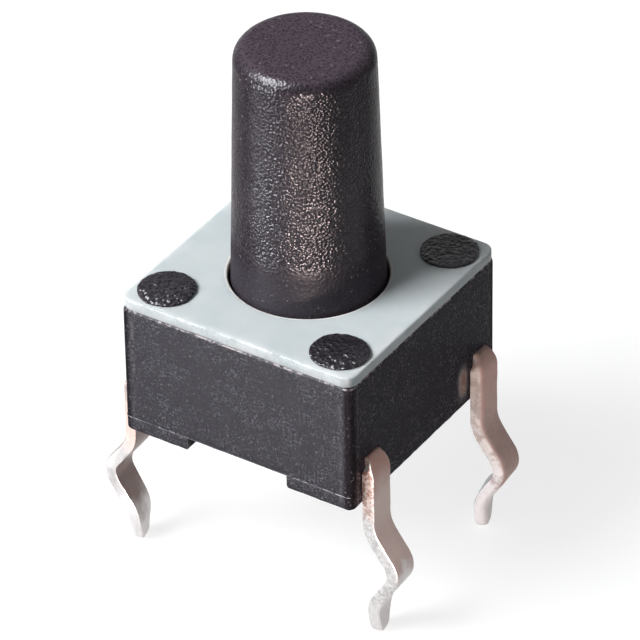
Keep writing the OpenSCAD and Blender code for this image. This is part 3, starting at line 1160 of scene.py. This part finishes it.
# The floor's radius in metres, its two greys, its pattern's bumps per millimetre, and its glow
GROUND_R = 0.8
GROUND_STEPS = 96
GROUND_GREYS = (grey(0.31), grey(0.325))
GROUND_BUMPS = 0.06
GROUND_GLOW = 0.78
# How bright the surroundings are as light on the object, and as they are seen
WORLD_LIGHT = 0.15
WORLD_SEEN = 1.0
# Tints of the lamps
DAYLIGHT = (0.97, 0.985, 1.0)
WARM = (1.0, 0.8, 0.77)
COOL = (0.9, 0.93, 1.0)
SHEEN = (0.92, 0.95, 1.0)


def seen_directly(t):
    """1 for what is seen, also in reflections and through clear pieces, and 0 for light on the object."""
    path = t.tree.nodes.new("ShaderNodeLightPath")
    seen = t.plus(path.outputs["Is Camera Ray"], path.outputs["Is Glossy Ray"])
    return t.math("ADD", seen, path.outputs["Is Transmission Ray"], clamp=True)


def build_floor():
    bm = bmesh.new()
    ground = bmesh.ops.create_circle(bm, cap_ends=True, segments=GROUND_STEPS, radius=GROUND_R)
    bmesh.ops.translate(bm, verts=ground["verts"], vec=(0, 0, LEG_BOTTOM * MM))
    floor = finish_mesh("pale_floor", bm)
    t = Tree("pale_floor_looks")
    pale = t.mix(t.noise(GROUND_BUMPS, 3.0, 0.5), *GROUND_GREYS)
    lit = t.add("ShaderNodeBsdfDiffuse", 0, {"Color": pale})
    strength = t.times(seen_directly(t), GROUND_GLOW)
    glow = t.add("ShaderNodeEmission", 0, {"Color": grey(1.0), "Strength": strength})
    both = t.add("ShaderNodeAddShader", 0, {0: lit, 1: glow})
    t.add("ShaderNodeOutputMaterial", 0, {"Surface": both})
    floor.data.materials.append(t.owner)


def build_world():
    t = Tree("studio_surroundings", world=True)
    strength = t.between(seen_directly(t), WORLD_LIGHT, WORLD_SEEN)
    back = t.add("ShaderNodeBackground", 0, {"Color": grey(1.0), "Strength": strength})
    t.add("ShaderNodeOutputWorld", 0, {"Surface": back})
    bpy.context.scene.world = t.owner


def outward(azimuth, elevation):
    """Unit vector at angles in degrees; azimuth 0 looks out along -Y, and 90 along +X."""
    a = math.radians(azimuth)
    e = math.radians(elevation)
    return Vector((math.sin(a) * math.cos(e), -math.cos(a) * math.cos(e), math.sin(e)))


def add_lamp(name, azimuth, elevation, distance, size, power, tint):
    """A square soft light, in metres and watts, that looks at the middle of the housing."""
    away = outward(azimuth, elevation)
    data = bpy.data.lights.new(name, "AREA")
    data.size = size
    data.energy = power
    data.color = tint
    lamp = bpy.data.objects.new(name, data)
    lamp.location = away * distance + Vector((0, 0, BODY_HALF * MM))
    lamp.rotation_euler = away.to_track_quat("Z", "Y").to_euler()
    bpy.context.scene.collection.objects.link(lamp)
    return lamp


def add_glint(name, **settings):
    """A lamp that is seen in reflections only, and puts no light on the pieces otherwise."""
    lamp = add_lamp(name, **settings)
    lamp.visible_diffuse = False
    lamp.visible_camera = False


def add_camera():
    """The photograph's own viewpoint, worked out from the switch's edges."""
    azimuth = 33.3832
    elevation = 35.3449
    roll = math.radians(-0.973)
    middle = Vector((0, 0, 4.35))
    shift_right = 0.2587
    shift_down = 1.7216
    distance = 130.0948
    focal_pixels = 5909.95
    image_width = 640
    sensor_width = 36

    back = outward(azimuth, elevation)
    right = outward(azimuth + 90, 0)
    up = back.cross(right)
    side = right * math.cos(roll) + up * math.sin(roll)
    rise = up * math.cos(roll) - right * math.sin(roll)
    place = middle + side * shift_right - rise * shift_down + back * distance
    data = bpy.data.cameras.new("camera")
    data.sensor_width = sensor_width
    data.lens = focal_pixels * sensor_width / image_width
    data.clip_start = 0.005
    data.clip_end = 10
    camera = bpy.data.objects.new("camera", data)
    turn = Matrix((side, rise, back)).transposed()
    camera.matrix_world = Matrix.Translation(place * MM) @ turn.to_4x4()
    bpy.context.scene.collection.objects.link(camera)
    bpy.context.scene.camera = camera


build_floor()
build_world()
add_lamp("key", azimuth=-35, elevation=42, distance=0.3, size=0.16, power=1.25, tint=DAYLIGHT)
add_glint("warm_glint", azimuth=33, elevation=-10.5, distance=0.029, size=0.0025, power=0.037, tint=WARM)
add_glint("cool_glint", azimuth=-31, elevation=-1, distance=0.035, size=0.007, power=0.034, tint=COOL)
add_glint("cool_sheen", azimuth=-35, elevation=42, distance=0.3, size=0.15, power=7.5, tint=SHEEN)
add_camera()
bpy.context.scene.view_settings.view_transform = "Standard"
